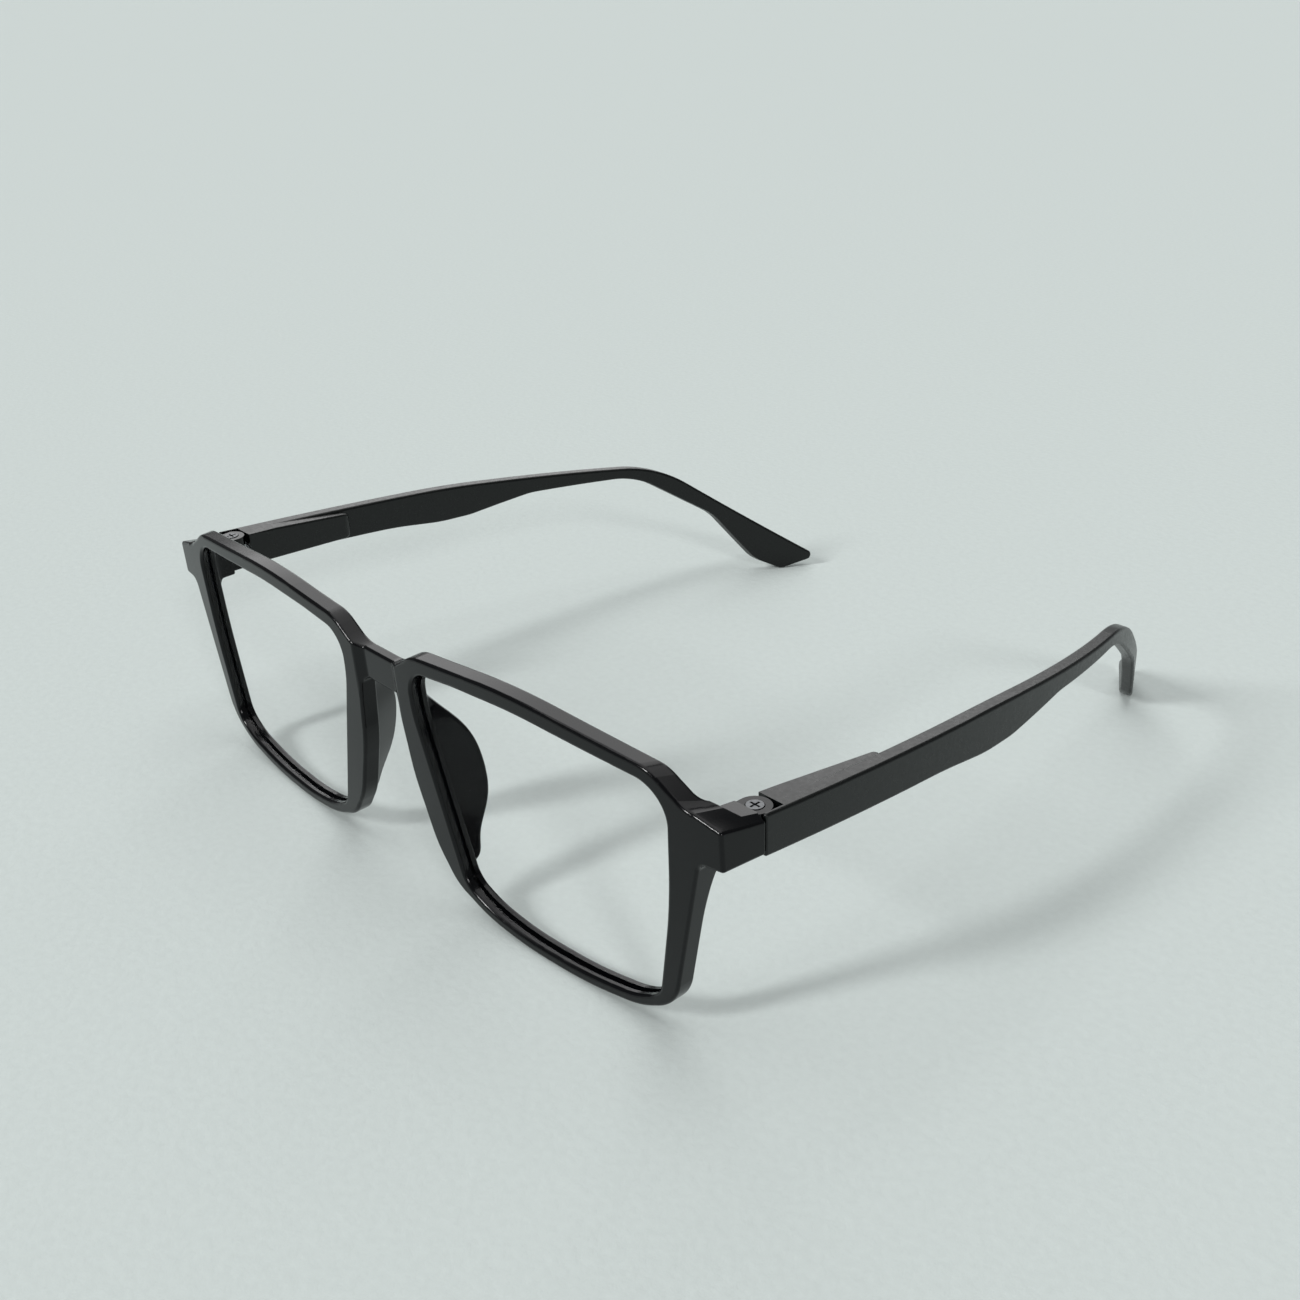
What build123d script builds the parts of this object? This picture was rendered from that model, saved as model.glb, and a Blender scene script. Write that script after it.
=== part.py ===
"""Square eyeglasses: a one-piece moulded front, two lenses and two temples on sprung hinges.

All lengths are millimetres. X runs across the face, the front looks towards -Y, the
temples run back towards +Y and Z is up. The wearer's left side is at +X.
"""
import math
import os

from build123d import *

# Lens openings, seen from the front
lens_width = 52.0
lens_height = 39.3
nasal_edge = 9.2            # from the middle of the bridge to each opening
lower_lip = 1.7             # rim under each opening
brow_band = 2.75            # rim above each opening
temporal_band = 8.8         # from each opening to the outer side of the end piece

# Front moulding
front_thickness = 3.0
front_curve_radius = 583.0
front_tilt = 3.0            # degrees, top leaning forward
front_round = 0.5
rear_round = 0.4
bridge_drop = 5.05          # bridge's top, under the brow's highest point
bridge_height = 5.5
bridge_top_half_width = 5.2
bridge_bottom_half_width = 5.0
bridge_corner_round = 1.5
bridge_shoulder_round = 6.2
bridge_recess = 1.0
bridge_recess_half_width = 4.8
bridge_recess_round = 1.1
groove_depth = 0.6
groove_width = 1.0

# End pieces, where the front turns back towards the hinges
end_rise = 3.85             # top and bottom at the front face, from the hinge's level
end_fall = 2.5
end_top_slope = -0.209      # a ratio, for each unit of depth
step_splay = 0.42           # the brow's step moves out and down, for each unit of depth
step_slope = -0.14
end_bottom_slope = -0.133
end_flare = 0.5
end_corner_round = 0.6
end_inner_round = 2.5

# Nose pads, moulded with the front
pad_root_cover = 0.5
pad_root_start = 1.1
pad_root_width = 3.2
pad_tip_width = 1.55
pad_reach = 9.35            # rear edge, behind the front face at the bridge
pad_splay_share = 0.52      # sideways step for each unit of depth
pad_round = 0.5

# Hinge axis and its ears
hinge_inset = 2.7
hinge_setback = 7.8         # behind the front face at the end piece
hinge_drop = 10.45          # middle of the tenon, under the brow's highest point
ear_radius = 2.3
ear_rise = 2.9
end_gap_ahead = 1.3         # the end piece stops this far in front of the axis
temple_gap = 0.2            # between the end piece and the temple
ear_side_gap = 0.2          # between the ears and the temple's outer skin
block_gap = 0.3             # between the ears and the temple's block

# Hinge pieces
tenon_thickness = 1.8
knuckle_radius = 2.1
knuckle_gap = 0.35          # behind the knuckle, inside the slot
shank_width = 1.8
shank_gap = 0.2             # between the tenon's shank and the temple's block
rod_radius = 0.5
rod_length = 13.7
washer_thickness = 0.22
washer_radius = 1.9
running_gap = 0.04
fit_gap = 0.02
screw_radius = 0.7
screw_head_radius = 1.2
screw_head_height = 0.55
screw_head_proud = 0.1
screw_head_gap = 0.12
screw_slot_width = 0.32
screw_slot_depth = 0.28
screw_slot_length = 1.7
insert_radius = 1.1
insert_length = 1.2
insert_setback = 0.15
casing_radius = 1.25
casing_wall = 0.3
casing_length = 14.6
casing_end_wall = 0.6
casing_setback = 0.15
retainer_setback = 0.2
retainer_length = 2.0
collar_radius = 0.83
collar_length = 1.2
spring_wire = 0.25
spring_radius = 0.75        # middle of the wire
spring_turns = 12
spring_slack = 0.7          # free travel left before the collar

# Temples
temple_reach = 141.4        # tip, behind the front face
temple_rise = 3.2           # top and bottom at the hinge, from the hinge's level
temple_fall = 3.0
temple_thickness = 2.7
tip_thickness = 2.2
temple_bow = 6.6
temple_pull = 19.2
temple_hook = 15.3
temple_round = 0.45
gap_round = 0.3             # upright corners beside the gap
block_length = 22.4
block_thickness = 5.1
block_taper = 1.0
block_end_rise = 0.9
block_end_fall = 3.9
block_round = 1.9
block_edge_round = 0.4

# Lenses
lens_thickness = 1.6
lens_gap = 0.1
bevel_width = 0.8
bevel_depth = 0.5

overrun = 5.0               # how far cutting shapes pass what they cut
tolerance = 0.02            # for finding faces and edges

# Corners of a lens opening, as shares of its width, its height and, for the
# corner's radius, its height again
opening_shares = (
    (0.002, 0.784, 0.50),
    (0.000, 0.957, 0.11),
    (0.208, 0.986, 1.50),
    (0.459, 1.000, 2.50),
    (1.000, 0.955, 0.14),
    (0.983, 0.513, 2.50),
    (0.927, 0.095, 0.11),
    (0.842, 0.036, 0.36),
    (0.647, 0.000, 1.80),
    (0.401, 0.000, 1.25),
    (0.247, 0.031, 0.50),
    (0.148, 0.092, 0.12),
)

# Corners of the rim's outer contour along the brow, down its step to the end piece
# and from under the end piece to the bridge, as shares of half the width and the height
brow_shares = (
    (0.147, 0.963, 0.16),
    (0.450, 1.000, 2.70),
)
step_shares = (
    (0.838, 0.950, 0.13),
    (0.9187, 0.863, 0.19),
)

# Line from the foot of the step back to the hinge, as shares of the end piece's
# depth and of the hinge's level
shelf_shares = (
    (0.580, 1.150),
    (0.765, 1.104),
    (1.100, 1.090),
)
under_shares = (
    (0.943, 0.697, 0.04),
    (0.861, 0.113, 0.18),
    (0.764, 0.034, 0.36),
    (0.614, 0.000, 1.60),
    (0.428, 0.000, 1.40),
    (0.307, 0.029, 0.50),
    (0.204, 0.097, 0.16),
    (0.146, 0.228, 0.34),
    (0.095, 0.480, 0.70),
)

# Levels of the nose pad from top to bottom: height, nasal contour and reach, as
# shares of the frame's height, half the width and the pad's reach
pad_shares = (
    (0.768, 0.074, 0.42),
    (0.688, 0.077, 0.69),
    (0.619, 0.082, 0.89),
    (0.539, 0.088, 0.995),
    (0.447, 0.102, 1.000),
    (0.366, 0.116, 0.920),
    (0.275, 0.137, 0.700),
    (0.206, 0.155, 0.580),
    (0.166, 0.170, 0.37),
)

# Side view of a temple, along its length and up to its top edge
temple_top_shares = (
    (0.377, 0.914, 2.30),
    (0.749, 0.766, 0.215),
    (1.000, 0.069, 0.0085),
)
temple_bottom_shares = (
    (0.947, 0.000, 0.012),
    (0.907, 0.079, 0.06),
    (0.839, 0.411, 0.09),
    (0.710, 0.726, 0.14),
    (0.522, 0.763, 0.15),
    (0.411, 0.723, 0.15),
    (0.357, 0.727, 0.30),
    (0.277, 0.767, 0.75),
)
temple_curve_points = 12
temple_hook_power = 5

# Places worked out from the sizes above
half_width = nasal_edge + lens_width + temporal_band
frame_height = lower_lip + lens_height + brow_band
tilt_pivot = lower_lip + lens_height / 2
bridge_top = frame_height - bridge_drop
bridge_bottom = bridge_top - bridge_height
groove_setback = (front_thickness - groove_width) / 2
front_wrap = front_curve_radius - math.sqrt(front_curve_radius**2 - half_width**2)
hinge_x = half_width - hinge_inset
hinge_depth = front_wrap + hinge_setback
hinge_level = frame_height - hinge_drop
ear_top = hinge_level + ear_rise
ear_bottom = hinge_level - ear_rise
end_gap = hinge_depth - end_gap_ahead
moulding_rear = end_gap + overrun / 2
temple_front = end_gap + temple_gap
temple_length = temple_reach - temple_front
temple_top = hinge_level + temple_rise
temple_bottom = hinge_level - temple_fall
block_front = hinge_depth + ear_radius + block_gap
ear_slot = tenon_thickness + 2 * (washer_thickness + 2 * running_gap)
slot_bottom = hinge_level - ear_slot / 2
slot_top = hinge_level + ear_slot / 2
tenon_bottom = hinge_level - tenon_thickness / 2
tenon_top = hinge_level + tenon_thickness / 2
head_bottom = ear_top + screw_head_proud - screw_head_height
insert_bottom = ear_bottom + insert_setback
insert_top = insert_bottom + insert_length
shank_end = block_front - shank_gap
rod_end = shank_end + rod_length
casing_front = block_front + casing_setback
casing_rear = casing_front + casing_length
casing_bore = casing_radius - casing_wall
retainer_front = casing_front + retainer_setback
retainer_rear = retainer_front + retainer_length
collar_front = rod_end - collar_length


def rounded_outline(corners):
    """Closed outline of straight runs and arcs, from corners of x, y and radius."""
    points = [(across, up) for across, up, radius in corners]
    radii = [radius for across, up, radius in corners]
    return FilletPolyline(*points, radius=radii, close=True)


def both_sides(shape):
    """The shape and its mirror image across the middle of the bridge."""
    return shape + mirror(shape, about=Plane.YZ)


def tilted(shape):
    """The front's own frame leans forward about a line across the lenses."""
    return shape.rotate(Axis((0, 0, tilt_pivot), (1, 0, 0)), front_tilt)


def upright_rod(radius, low, high):
    """Cylinder on the left hinge axis, between two heights."""
    return Pos(hinge_x, hinge_depth, (low + high) / 2) * Cylinder(radius, high - low)


def lengthwise_rod(radius, front, rear):
    """Cylinder along the left hinge rod, between two depths."""
    place = Pos(hinge_x, (front + rear) / 2, hinge_level) * Rot(90, 0, 0)
    return place * Cylinder(radius, rear - front)


def box_between(x_range, y_range, z_range):
    """Box between two corners, given as pairs along each axis."""
    sizes = [high - low for low, high in (x_range, y_range, z_range)]
    middles = [(high + low) / 2 for low, high in (x_range, y_range, z_range)]
    return Pos(*middles) * Box(*sizes)


def front_plan():
    """The front seen from above: a curved band with an end piece at each side."""
    outer = Pos(0, front_curve_radius) * Circle(front_curve_radius)
    inner = Pos(0, front_curve_radius) * Circle(front_curve_radius - front_thickness)
    flare_slope = end_flare / (end_gap - front_wrap)
    front_side = half_width - flare_slope * (front_wrap + overrun)
    rear = hinge_depth + overrun
    rear_side = half_width + flare_slope * (rear - front_wrap)
    corners = [(front_side, -overrun), (rear_side, rear), (-rear_side, rear), (-front_side, -overrun)]
    envelope = make_face(Polyline(*corners, close=True))
    inner_wall = hinge_x - ear_radius
    hollow = inner & Pos(0, front_thickness + rear / 2) * Rectangle(2 * inner_wall, 2 * rear)
    recess_front = bridge_recess_half_width + bridge_recess
    recess_floor = bridge_recess_half_width - bridge_recess
    recess_corners = [
        (recess_front, -overrun),
        (recess_front, 0),
        (recess_floor, bridge_recess),
        (-recess_floor, bridge_recess),
        (-recess_front, 0),
        (-recess_front, -overrun),
    ]
    recess = make_face(Polyline(*recess_corners, close=True))
    plan = (outer & envelope) - hollow - recess
    near_floor = [v for v in plan.vertices() if abs(v.X) < recess_front + overrun and v.Y < front_thickness / 2]
    plan = fillet(near_floor, bridge_recess_round)
    nooks = [v for v in plan.vertices() if abs(abs(v.X) - inner_wall) < tolerance and v.Y < end_gap]
    plan = fillet(nooks, end_inner_round)
    corners = [v for v in plan.vertices() if abs(v.X) > hinge_x and v.Y < end_gap]
    return fillet(corners, end_corner_round)


def placed(shares, across, up):
    """Outline corners from shares of a width and a height."""
    return [(part * across, rise * up, radius * up) for part, rise, radius in shares]


def front_contour(depth):
    """Outer contour of the front at a depth: the end pieces drop as they go back."""
    behind = depth - front_wrap
    end_top = hinge_level + end_rise + end_top_slope * behind
    end_bottom = hinge_level - end_fall + end_bottom_slope * behind
    outer = half_width + end_flare + overrun
    step = [
        (across + step_splay * behind, up + step_slope * behind, radius)
        for across, up, radius in placed(step_shares, half_width, frame_height)
    ]
    foot_across, foot_up, _ = step[-1]
    side_slope = (end_top - foot_up) / (half_width - foot_across)
    outer_top = end_top + side_slope * (outer - half_width)
    right = [(bridge_top_half_width, bridge_top, bridge_shoulder_round)]
    right += placed(brow_shares, half_width, frame_height) + step
    right += [(outer, outer_top, 0), (outer, end_bottom, 0)]
    right += placed(under_shares, half_width, frame_height)
    right += [(bridge_bottom_half_width, bridge_bottom, bridge_corner_round)]
    left = [(-across, up, radius) for across, up, radius in reversed(right)]
    return Plane.XZ.offset(-depth) * make_face(rounded_outline(right + left))


def opening_face(depth, grow=0.0):
    """The left lens opening, grown or shrunk all round."""
    corners = placed(opening_shares, lens_width, lens_height)
    moved = [(nasal_edge + across, lower_lip + up, radius) for across, up, radius in corners]
    face = make_face(rounded_outline(moved))
    if grow:
        face = offset(face, grow)
    return Plane.XZ.offset(-depth) * face


def front_blank():
    """The moulding before its pads, grooves and hinge ears."""
    rear = hinge_depth + overrun
    plan = extrude(Pos(0, 0, -overrun) * front_plan(), frame_height + 2 * overrun)
    contour = loft([front_contour(-overrun), front_contour(moulding_rear)], ruled=True)
    openings = both_sides(extrude(opening_face(-overrun), -(rear + overrun)))
    return (plan & contour) - openings


def curve_depth(point):
    """How far a point lies behind the curve of the front face."""
    return front_curve_radius - math.hypot(point.X, point.Y - front_curve_radius)


def on_front(point):
    """True on the front face, in the bridge's recess and on the end pieces' sides."""
    in_recess = abs(point.X) < bridge_recess_half_width + bridge_recess
    limit = bridge_recess if in_recess else 0
    on_side = abs(point.X) > half_width - end_corner_round and point.Y < hinge_depth
    return curve_depth(point) < limit + tolerance or on_side


def on_rear(point):
    """True on the rear face and along the end pieces' inner walls."""
    inner_wall = hinge_x - ear_radius
    beyond = curve_depth(point) > front_thickness - tolerance
    return beyond and abs(point.X) < inner_wall + tolerance


def long_edges(shape, test):
    """Edges that pass a test all along and don't stand upright."""
    stations = [station / 4 for station in range(5)]

    def wanted(edge):
        points = [edge.position_at(station) for station in stations]
        upright = math.hypot(points[0].X - points[-1].X, points[0].Y - points[-1].Y) < tolerance
        at_rear = min(point.Y for point in points) > moulding_rear - tolerance
        return not upright and not at_rear and all(test(point) for point in points)

    return [edge for edge in shape.edges() if wanted(edge)]


def nose_pad():
    """Left nose pad: a fin that grows out of the nasal rim and leans outwards."""
    sections = []
    for rise, contour, reach in pad_shares:
        rim_side = contour * half_width + pad_root_cover
        tip = reach * pad_reach
        tip_side = rim_side + pad_splay_share * (tip - pad_root_start)
        corners = [
            (rim_side, pad_root_start, 0),
            (tip_side, tip, pad_round),
            (tip_side + pad_tip_width, tip - pad_round, pad_round),
            (rim_side + pad_root_width, front_thickness - pad_round, 0),
        ]
        sections.append(Pos(0, 0, rise * frame_height) * make_face(rounded_outline(corners)))
    return loft(sections)


def lens_grooves():
    """Grooves in the walls of both openings, which hold the lenses' bevels."""
    band = curved_band(groove_setback, groove_width)
    return both_sides(band & opening_prism(groove_depth))


def opening_prism(grow):
    """The left opening, grown or shrunk, carried through the front."""
    return extrude(opening_face(-overrun, grow), -(hinge_depth + overrun))


def curved_band(setback, thickness):
    """A layer that follows the front's curve, some way behind the front face."""
    outer = Pos(0, front_curve_radius) * Circle(front_curve_radius - setback)
    inner = Pos(0, front_curve_radius) * Circle(front_curve_radius - setback - thickness)
    reach = Pos(half_width / 2, 0) * Rectangle(half_width, 2 * hinge_depth)
    return extrude((outer - inner) & reach, frame_height + overrun)


def hinge_ears():
    """The left end piece's rounded ears before they are slotted."""
    nose = upright_rod(ear_radius, ear_bottom, ear_top)
    inner_half = (hinge_x - ear_radius, hinge_x)
    neck = box_between(inner_half, (end_gap - ear_radius / 2, hinge_depth), (ear_bottom, ear_top))
    return nose + neck


def hinge_cuts():
    """Slot, screw holes, head pocket and insert pocket in the left ears."""
    slot_reach = ear_radius + overrun
    sideways = (hinge_x - slot_reach, hinge_x + slot_reach)
    slot = box_between(sideways, (end_gap, hinge_depth + slot_reach), (slot_bottom, slot_top))
    slot += upright_rod(knuckle_radius + knuckle_gap, slot_bottom, slot_top)
    hole = upright_rod(screw_radius + running_gap, ear_bottom - overrun, ear_top + overrun)
    pocket_radius = screw_head_radius + screw_head_gap
    pocket = upright_rod(pocket_radius, head_bottom - fit_gap, ear_top + overrun)
    insert_pocket = upright_rod(insert_radius + fit_gap, ear_bottom - overrun, insert_top + fit_gap)
    return slot + hole + pocket + insert_pocket


def is_gap_corner(edge):
    """True on the upright outer corners of the end pieces' rear faces."""
    start, end = edge.position_at(0), edge.position_at(1)
    at_gap = min(start.Y, end.Y) > end_gap - tolerance
    outside = min(abs(start.X), abs(end.X)) > hinge_x + ear_radius
    return at_gap and outside and abs(start.Z - end.Z) > gap_round


def above_shelf():
    """What is cut away above the left end piece, behind the brow's step."""
    line = [(depth * end_gap, rise * hinge_level) for depth, rise in shelf_shares]
    over = frame_height + overrun
    corners = line + [(line[-1][0], over), (line[0][0], over)]
    face = Plane.YZ.offset(half_width - temporal_band) * make_face(Polyline(*corners, close=True))
    return extrude(face, temporal_band + overrun)


def front_frame():
    """The one-piece front: rims, bridge, nose pads, end pieces and hinge ears."""
    body = front_blank()
    body = fillet(long_edges(body, on_front), front_round)
    body = fillet(long_edges(body, on_rear), rear_round)
    body += both_sides(nose_pad())
    body -= lens_grooves()
    body = tilted(body) - both_sides(above_shelf())
    width = half_width + 2 * overrun
    behind = box_between((-width, width), (end_gap, temple_reach), (-overrun, 2 * frame_height))
    body -= behind
    body = fillet([edge for edge in body.edges() if is_gap_corner(edge)], gap_round)
    body += both_sides(hinge_ears())
    return body - both_sides(hinge_cuts())


def lens():
    """Left lens: a curved plate whose bevel sits in the rim's groove."""
    plate = curved_band(groove_setback + (groove_width - lens_thickness) / 2, lens_thickness)
    bevel = curved_band(groove_setback + (groove_width - bevel_width) / 2, bevel_width)
    shape = plate & opening_prism(-lens_gap)
    shape += bevel & opening_prism(bevel_depth)
    return tilted(shape)


def tenon():
    """Knuckle between the ears, its flat shank and the rod that guides the temple."""
    knuckle = upright_rod(knuckle_radius, tenon_bottom, tenon_top)
    sideways = (hinge_x - shank_width / 2, hinge_x + shank_width / 2)
    shank = box_between(sideways, (hinge_depth, shank_end), (tenon_bottom, tenon_top))
    rod = lengthwise_rod(rod_radius, shank_end - shank_gap, rod_end)
    eye = upright_rod(screw_radius + running_gap, tenon_bottom - overrun, tenon_top + overrun)
    return knuckle + shank + rod - eye


def collar():
    """Stop ring, fixed on the end of the rod."""
    ring = lengthwise_rod(collar_radius, collar_front, rod_end)
    return ring - lengthwise_rod(rod_radius + fit_gap, collar_front - overrun, rod_end + overrun)


def washers():
    """Two thin rings, over and under the knuckle."""
    rings = []
    for low in (slot_bottom + running_gap, tenon_top + running_gap):
        ring = upright_rod(washer_radius, low, low + washer_thickness)
        hole = upright_rod(screw_radius + running_gap, low - overrun, low + overrun)
        rings.append(ring - hole)
    return Compound(children=rings)


def screw():
    """Pivot screw with a cross recess in its head."""
    shank = upright_rod(screw_radius, insert_bottom, head_bottom)
    head = upright_rod(screw_head_radius, head_bottom, head_bottom + screw_head_height)
    head_top = head_bottom + screw_head_height
    slots = Box(screw_slot_width, screw_slot_length, 2 * screw_slot_depth)
    slots += Box(screw_slot_length, screw_slot_width, 2 * screw_slot_depth)
    return shank + head - Pos(hinge_x, hinge_depth, head_top) * slots


def threaded_insert():
    """Metal bush in the lower ear, which the screw turns into."""
    bush = upright_rod(insert_radius, insert_bottom, insert_top)
    return bush - upright_rod(screw_radius + fit_gap, ear_bottom - overrun, insert_top + overrun)


def casing():
    """Closed sleeve inside the temple that holds the spring."""
    tube = lengthwise_rod(casing_radius, casing_front, casing_rear)
    return tube - lengthwise_rod(casing_bore, casing_front - overrun, casing_rear - casing_end_wall)


def retainer():
    """Bush at the mouth of the casing, which guides the rod and pushes the spring."""
    bush = lengthwise_rod(casing_bore - fit_gap, retainer_front, retainer_rear)
    return bush - lengthwise_rod(rod_radius + running_gap, casing_front - overrun, casing_rear)


def spring():
    """Compression spring between the retainer and the collar."""
    front = retainer_rear + fit_gap + spring_wire / 2
    rear = collar_front - spring_slack - spring_wire / 2
    path = Helix((rear - front) / spring_turns, rear - front, spring_radius)
    section = (path ^ 0) * Circle(spring_wire / 2)
    coil = sweep(section, path=path, is_frenet=True)
    return Pos(hinge_x, front, hinge_level) * Rot(-90, 0, 0) * coil


def temple_side(depth):
    """Outer side of the left temple at a depth behind the front face."""
    along = depth / temple_reach
    curl = temple_hook * along**temple_hook_power
    return half_width + temple_bow * along - temple_pull * along**2 - curl


def temple_slope(depth):
    """Sideways step of the temple's outer side for each unit of depth."""
    along = depth / temple_reach
    curl_slope = temple_hook_power * temple_hook * along ** (temple_hook_power - 1)
    return (temple_bow - 2 * temple_pull * along - curl_slope) / temple_reach


def temple_plan():
    """The left temple seen from above, curving in towards its tip."""
    outer = []
    inner = []
    length = temple_length + overrun
    for step in range(temple_curve_points):
        depth = temple_front + step / (temple_curve_points - 1) * length
        side = temple_side(depth)
        slope = temple_slope(depth)
        along = depth / temple_reach
        thickness = temple_thickness + (tip_thickness - temple_thickness) * along**2
        inset = thickness / math.sqrt(1 + slope**2)
        outer.append((side, depth))
        inner.append((side - inset, depth + inset * slope))
    edges = Spline(*outer) + Spline(*inner)
    edges += Line(outer[0], inner[0]) + Line(outer[-1], inner[-1])
    return make_face(edges)


def temple_outline():
    """The left temple seen from its side."""
    top = [(temple_front, temple_top, 0)]
    top += temple_corners(temple_top_shares)
    bottom = temple_corners(temple_bottom_shares) + [(temple_front, temple_bottom, 0)]
    outline = make_face(rounded_outline(top + bottom))
    return extrude(Plane.YZ * outline, half_width + 2 * overrun)


def temple_corners(shares):
    """Corners of the temple's side view, from shares of its length and height."""
    return [
        (temple_front + along * temple_length, up * temple_top, radius * temple_length)
        for along, up, radius in shares
    ]


def temple_block():
    """Thicker part behind the hinge, which holds the casing."""
    side = temple_side(block_front) - block_thickness
    rear = block_front + block_length
    rear_side = temple_side(rear) - block_thickness + block_taper
    buried = temple_thickness / 2
    corners = [
        (side, block_front, 0),
        (temple_side(block_front) - buried, block_front, 0),
        (temple_side(rear) - buried, rear, 0),
        (rear_side, rear, block_round),
    ]
    plan = make_face(rounded_outline(corners))
    side_corners = [
        (block_front, temple_top, 0),
        (rear, hinge_level + block_end_rise, block_round),
        (rear, hinge_level - block_end_fall, block_round),
        (block_front, temple_bottom, 0),
    ]
    side_view = extrude(Plane.YZ * make_face(rounded_outline(side_corners)), half_width + 2 * overrun)
    block = extrude(plan, temple_top + overrun) & side_view
    inner = [edge for edge in block.edges() if is_block_rim(edge)]
    return fillet(inner, block_edge_round)


def is_block_rim(edge):
    """True on the long edges round the block's inner face."""
    points = [edge.position_at(station) for station in (0, 1 / 2, 1)]
    near = all(point.X < temple_side(point.Y) - temple_thickness for point in points)
    return near and max(point.Y for point in points) > block_front + tolerance


def blade_edges(blade):
    """The long edges of the blade, up to its front end."""

    def outside(point):
        return point.X > temple_side(point.Y) - temple_thickness / 2

    chosen = []
    for edge in blade.edges():
        ends = [edge.position_at(0), edge.position_at(1)]
        along_one_side = outside(ends[0]) == outside(ends[1])
        if along_one_side and max(end.Y for end in ends) > block_front:
            chosen.append(edge)
    return chosen


def temple():
    """Left temple: curved blade with the hinge block on its inner side."""
    outline = temple_outline()
    blade = extrude(temple_plan(), temple_top + overrun) & outline
    blade = fillet(blade_edges(blade), temple_round)
    uprights = blade.edges().filter_by(Axis.Z)
    blade = fillet(uprights.sort_by(Axis.X)[-1], gap_round)
    body = blade + (temple_block() & outline)
    skin = hinge_x + ear_radius + ear_side_gap
    room = box_between((hinge_x - overrun, skin), (0, block_front), (0, temple_top + overrun))
    body -= room
    return body - lengthwise_rod(casing_radius + fit_gap, casing_front - overrun, casing_rear + fit_gap)


def left_pieces():
    """Every piece of the left side, by the name it has without its side."""
    return {
        "lens": lens(),
        "temple": temple(),
        "hinge_casing": casing(),
        "hinge_retainer": retainer(),
        "hinge_spring": spring(),
        "hinge_tenon": tenon(),
        "hinge_collar": collar(),
        "hinge_washers": washers(),
        "hinge_screw": screw(),
        "hinge_insert": threaded_insert(),
    }


def all_pieces():
    """Every piece, placed with the middle of the assembly's base at the origin."""
    pieces = {"front_frame": front_frame()}
    for name, shape in left_pieces().items():
        pieces["left_" + name] = shape
        pieces["right_" + name] = mirror(shape, about=Plane.YZ)
    boxes = [shape.bounding_box() for shape in pieces.values()]
    front = min(box.min.Y for box in boxes)
    rear = max(box.max.Y for box in boxes)
    bottom = min(box.min.Z for box in boxes)
    base = Pos(0, -(front + rear) / 2, -bottom)
    print("moved to the origin by", base.position)
    return {name: base * shape for name, shape in pieces.items()}


os.makedirs("parts", exist_ok=True)
for node, shape in all_pieces().items():
    export_step(shape, f"parts/{node}.step")
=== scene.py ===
"""Looks of the square eyeglasses: finishes, studio and camera."""

import math

import bpy
from mathutils import Matrix, Vector

MM = 0.001

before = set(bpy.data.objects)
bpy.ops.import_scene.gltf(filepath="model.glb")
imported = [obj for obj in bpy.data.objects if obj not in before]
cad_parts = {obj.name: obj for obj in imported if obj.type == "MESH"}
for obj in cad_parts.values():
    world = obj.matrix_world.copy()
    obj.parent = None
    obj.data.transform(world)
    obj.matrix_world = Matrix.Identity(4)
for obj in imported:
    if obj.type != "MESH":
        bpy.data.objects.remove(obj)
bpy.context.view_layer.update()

# Camera, solved from the photograph: angles in degrees, and the clip distances in metres
PHOTO_SIZE = 1300
FOCAL_PIXELS = 1578.6
PRINCIPAL_POINT = (649.8, 653.4)
CAMERA_PLACE_MM = (187.48, -179.71, 138.84)
CAMERA_AZIMUTH = 48.77
CAMERA_DOWN = 25.42
CAMERA_ROLL = -1.81
SENSOR_MM = 36.0
CLIP_START = 0.005
CLIP_END = 50

# Finishes. A relief is the noise's scale, and the strength and distance of its bump.
# A metal has no IOR of its own.
FINISHES = {
    "gloss_black": {
        "colour": (0.0009, 0.0011, 0.0017),
        "ior": 1.34,
        "roughness": (0.14, 0.20),
        "relief": (90.0, 0.05, 0.0002),
    },
    "satin_black": {
        "colour": (0.0028, 0.0038, 0.0037),
        "ior": 1.40,
        "roughness": (0.27, 0.36),
        "relief": (1400.0, 0.06, 0.0001),
    },
    "screw_steel": {
        "colour": (0.13, 0.135, 0.14),
        "roughness": (0.28, 0.45),
        "relief": (3000.0, 0.1, 0.00005),
    },
    "steel": {
        "colour": (0.55, 0.56, 0.57),
        "roughness": (0.2, 0.35),
        "relief": (2500.0, 0.1, 0.00005),
    },
    "brass": {
        "colour": (0.6, 0.45, 0.2),
        "roughness": (0.25, 0.4),
        "relief": (2500.0, 0.1, 0.00005),
    },
}
NOISE_DETAIL = 4.0
NOISE_RANGE = (0.35, 0.65)
LENS_IOR = 1.004

# Studio
FLOOR_COLOUR = (0.60, 0.655, 0.64)
FLOOR_REACH = 12.0
FLOOR_RELIEF = (700.0, 0.25, 0.0004)
FLOOR_DETAIL = 6.0
FLOOR_MOTTLE = 0.05
FLOOR_ROUGHNESS = 0.9
ROOM_COLOUR = (0.97, 1, 1)
ROOM_LEVEL = 0.17

# Name, azimuth, height and width in degrees, and share of the floor's light
LIGHTS = (
    ("overhead", 150, 80, 60, 0.36),
    ("behind", 138, 28, 44, 0.115),
    ("window_high", 257, 36, 9, 0.16),
    ("window_low", 256, 28.5, 9, 0.12),
    ("window_right", 337, 27, 9, 0.10),
)


def new_material(name):
    """A new material with its node tree and its shader."""
    material = bpy.data.materials.new(name)
    material.use_nodes = True
    tree = material.node_tree
    return material, tree, tree.nodes["Principled BSDF"]


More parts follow.
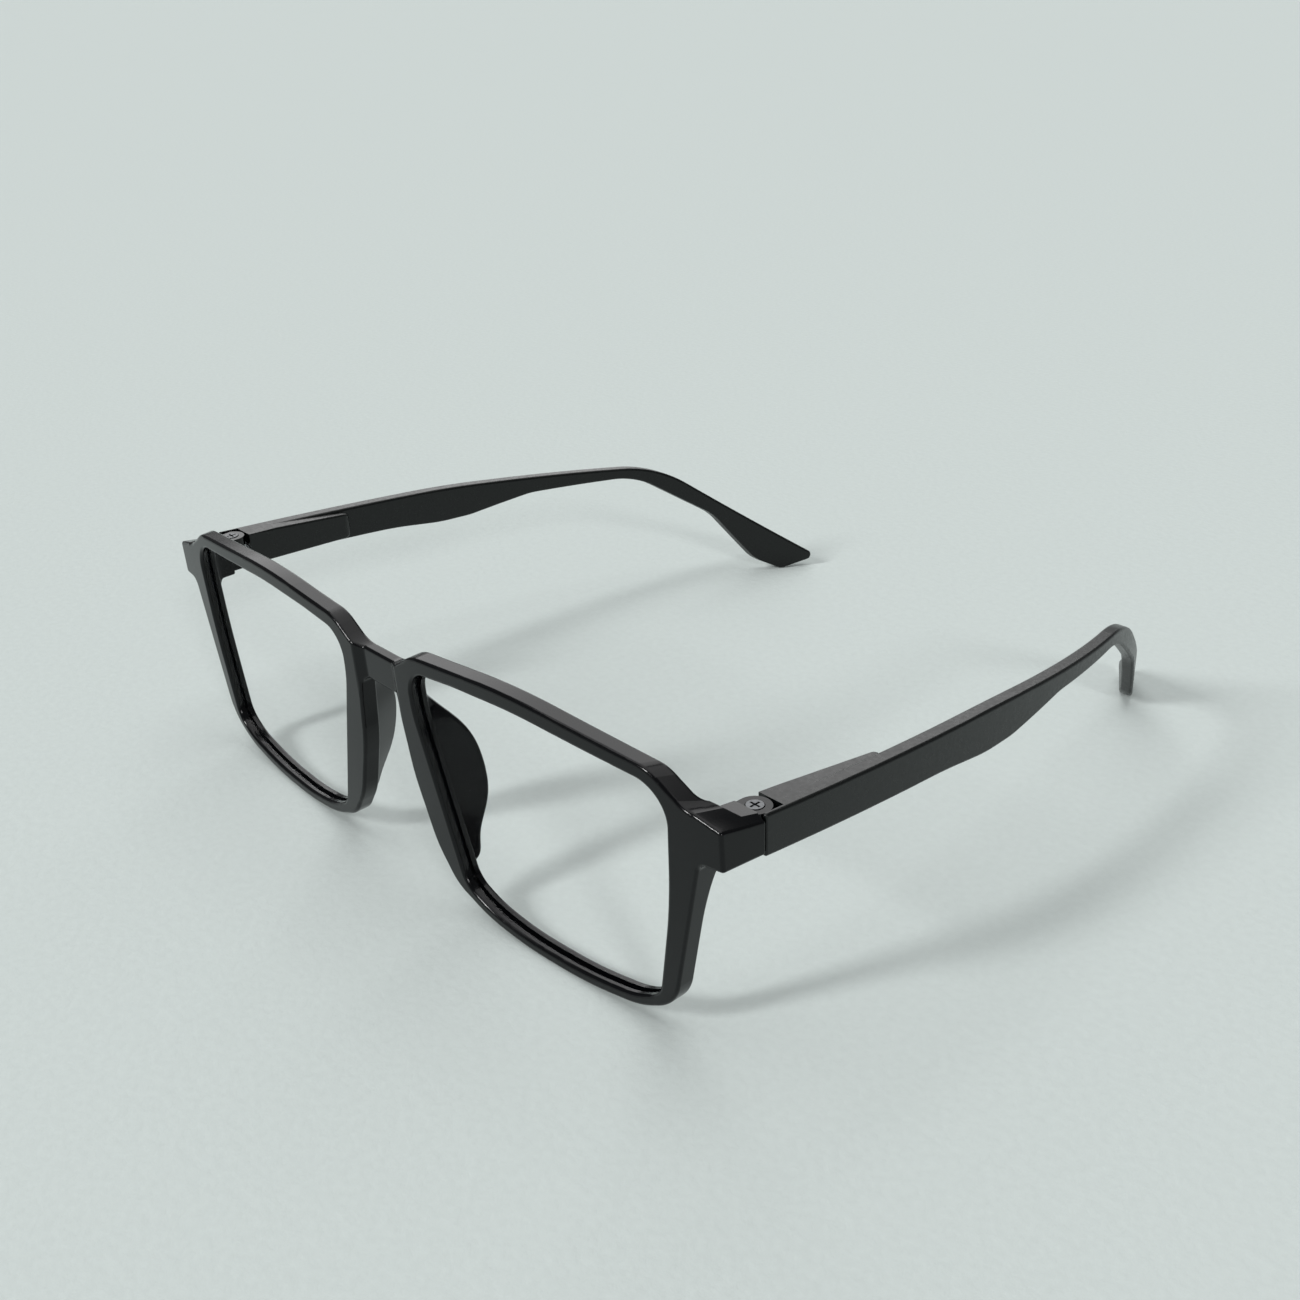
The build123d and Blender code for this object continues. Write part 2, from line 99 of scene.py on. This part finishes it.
def noise_bump(tree, shader, relief, detail=NOISE_DETAIL):
    """Fine surface relief from noise in the object's own space."""
    scale, strength, distance = relief
    place = tree.nodes.new("ShaderNodeTexCoord")
    noise = tree.nodes.new("ShaderNodeTexNoise")
    noise.inputs["Scale"].default_value = scale
    noise.inputs["Detail"].default_value = detail
    bump = tree.nodes.new("ShaderNodeBump")
    bump.inputs["Strength"].default_value = strength
    bump.inputs["Distance"].default_value = distance
    tree.links.new(place.outputs["Object"], noise.inputs["Vector"])
    tree.links.new(noise.outputs["Fac"], bump.inputs["Height"])
    tree.links.new(bump.outputs["Normal"], shader.inputs["Normal"])
    return noise


def spread(tree, noise, limits, socket):
    """Drives a socket between two limits by the noise."""
    ramp = tree.nodes.new("ShaderNodeMapRange")
    ramp.inputs["From Min"].default_value, ramp.inputs["From Max"].default_value = NOISE_RANGE
    ramp.inputs["To Min"].default_value, ramp.inputs["To Max"].default_value = limits
    tree.links.new(noise.outputs["Fac"], ramp.inputs["Value"])
    tree.links.new(ramp.outputs["Result"], socket)


def finish(name):
    """Moulded plastic or machined metal, whose noise varies relief and roughness."""
    look = FINISHES[name]
    material, tree, shader = new_material(name)
    shader.inputs["Base Color"].default_value = (*look["colour"], 1)
    if "ior" in look:
        shader.inputs["IOR"].default_value = look["ior"]
    else:
        shader.inputs["Metallic"].default_value = 1.0
    noise = noise_bump(tree, shader, look["relief"])
    spread(tree, noise, look["roughness"], shader.inputs["Roughness"])
    return material


def choose_seen(tree, seen, otherwise):
    """One shader for camera and transmission rays and another for the rest."""
    path = tree.nodes.new("ShaderNodeLightPath")
    either = tree.nodes.new("ShaderNodeMath")
    either.operation = "MAXIMUM"
    mix = tree.nodes.new("ShaderNodeMixShader")
    for ray, socket in zip(("Is Camera Ray", "Is Transmission Ray"), either.inputs):
        tree.links.new(path.outputs[ray], socket)
    tree.links.new(either.outputs["Value"], mix.inputs["Fac"])
    tree.links.new(otherwise, mix.inputs[1])
    tree.links.new(seen, mix.inputs[2])
    return mix.outputs["Shader"]


def clear_lens():
    """Thin clear lens, which hardly shows, casts no shadow and keeps no lamp's light back."""
    material, tree, shader = new_material("lens_clear")
    shader.inputs["Base Color"].default_value = (1, 1, 1, 1)
    shader.inputs["Transmission Weight"].default_value = 1.0
    shader.inputs["Roughness"].default_value = 0.0
    shader.inputs["IOR"].default_value = LENS_IOR
    through = tree.nodes.new("ShaderNodeBsdfTransparent")
    mixed = choose_seen(tree, shader.outputs["BSDF"], through.outputs["BSDF"])
    tree.links.new(mixed, tree.nodes["Material Output"].inputs["Surface"])
    return material


def dress(material, *names):
    """Gives the CAD nodes a finish."""
    for name in names:
        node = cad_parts[name]
        for slot in node.material_slots:
            slot.material = material
        if not node.material_slots:
            node.data.materials.append(material)


def both(*names):
    """The left and right node of each name."""
    return [f"{side}_{name}" for side in ("left", "right") for name in names]


def camera():
    """Camera at the photograph's place, aim, roll and lens."""
    azimuth = math.radians(CAMERA_AZIMUTH)
    down = math.radians(CAMERA_DOWN)
    roll = math.radians(CAMERA_ROLL)
    flat = math.cos(down)
    ahead = Vector((-math.sin(azimuth) * flat, math.cos(azimuth) * flat, -math.sin(down)))
    level = Vector((math.cos(azimuth), math.sin(azimuth), 0))
    upright = level.cross(ahead)
    right = math.cos(roll) * level + math.sin(roll) * upright
    up = -math.sin(roll) * level + math.cos(roll) * upright
    data = bpy.data.cameras.new("camera")
    data.sensor_width = SENSOR_MM
    data.lens = FOCAL_PIXELS / PHOTO_SIZE * SENSOR_MM
    data.shift_x = (PHOTO_SIZE / 2 - PRINCIPAL_POINT[0]) / PHOTO_SIZE
    data.shift_y = (PRINCIPAL_POINT[1] - PHOTO_SIZE / 2) / PHOTO_SIZE
    data.clip_start = CLIP_START
    data.clip_end = CLIP_END
    view = bpy.data.objects.new("camera", data)
    bpy.context.scene.collection.objects.link(view)
    turn = Matrix((right, up, -ahead)).transposed().to_4x4()
    place = Matrix.Translation(Vector(CAMERA_PLACE_MM) * MM)
    view.matrix_world = place @ turn
    bpy.context.scene.camera = view


def floor():
    """Plain pale floor, far wider than the view."""
    material, tree, shader = new_material("floor")
    shader.inputs["Roughness"].default_value = FLOOR_ROUGHNESS
    shader.inputs["Specular IOR Level"].default_value = 0.0
    grain = noise_bump(tree, shader, FLOOR_RELIEF, FLOOR_DETAIL)
    tint = tree.nodes.new("ShaderNodeValToRGB")
    for stop, level in zip(tint.color_ramp.elements, (1 - FLOOR_MOTTLE, 1 + FLOOR_MOTTLE)):
        stop.color = (*[part * level for part in FLOOR_COLOUR], 1)
    tree.links.new(grain.outputs["Fac"], tint.inputs["Fac"])
    tree.links.new(tint.outputs["Color"], shader.inputs["Base Color"])
    mesh = bpy.data.meshes.new("floor")
    sides = ((-1, -1), (1, -1), (1, 1), (-1, 1))
    corners = [(x * FLOOR_REACH, y * FLOOR_REACH, 0) for x, y in sides]
    mesh.from_pydata(corners, [], [(0, 1, 2, 3)])
    mesh.materials.append(material)
    ground = bpy.data.objects.new("floor", mesh)
    bpy.context.scene.collection.objects.link(ground)


def far_lamp(name, azimuth, height, width, share):
    """Even far light from an azimuth and a height, with its share of the floor's light."""
    turn = math.radians(azimuth)
    tilt = math.radians(height)
    flat = math.cos(tilt)
    away = Vector((math.cos(turn) * flat, math.sin(turn) * flat, math.sin(tilt)))
    data = bpy.data.lights.new(name, "SUN")
    data.angle = math.radians(width)
    data.energy = share * math.pi / math.sin(tilt)
    light = bpy.data.objects.new(name, data)
    bpy.context.scene.collection.objects.link(light)
    light.location = away
    light.rotation_euler = away.to_track_quat("Z", "Y").to_euler()


def studio():
    """Dim room, a backdrop like the floor, and soft lamps above, behind and at both sides."""
    world = bpy.data.worlds.new("studio")
    bpy.context.scene.world = world
    world.use_nodes = True
    tree = world.node_tree
    room = tree.nodes["Background"]
    room.inputs["Color"].default_value = (*ROOM_COLOUR, 1)
    room.inputs["Strength"].default_value = ROOM_LEVEL
    backdrop = tree.nodes.new("ShaderNodeBackground")
    backdrop.inputs["Color"].default_value = (*FLOOR_COLOUR, 1)
    mixed = choose_seen(tree, backdrop.outputs["Background"], room.outputs["Background"])
    tree.links.new(mixed, tree.nodes["World Output"].inputs["Surface"])
    for row in LIGHTS:
        far_lamp(*row)


dress(finish("gloss_black"), "front_frame")
dress(finish("satin_black"), *both("temple"))
dress(clear_lens(), *both("lens"))
dress(finish("screw_steel"), *both("hinge_screw"))
steel_nodes = both(
    "hinge_casing", "hinge_retainer", "hinge_spring", "hinge_tenon", "hinge_collar"
)
dress(finish("steel"), *steel_nodes)
dress(finish("brass"), *both("hinge_washers", "hinge_insert"))

floor()
studio()
camera()
bpy.context.scene.view_settings.view_transform = "Standard"
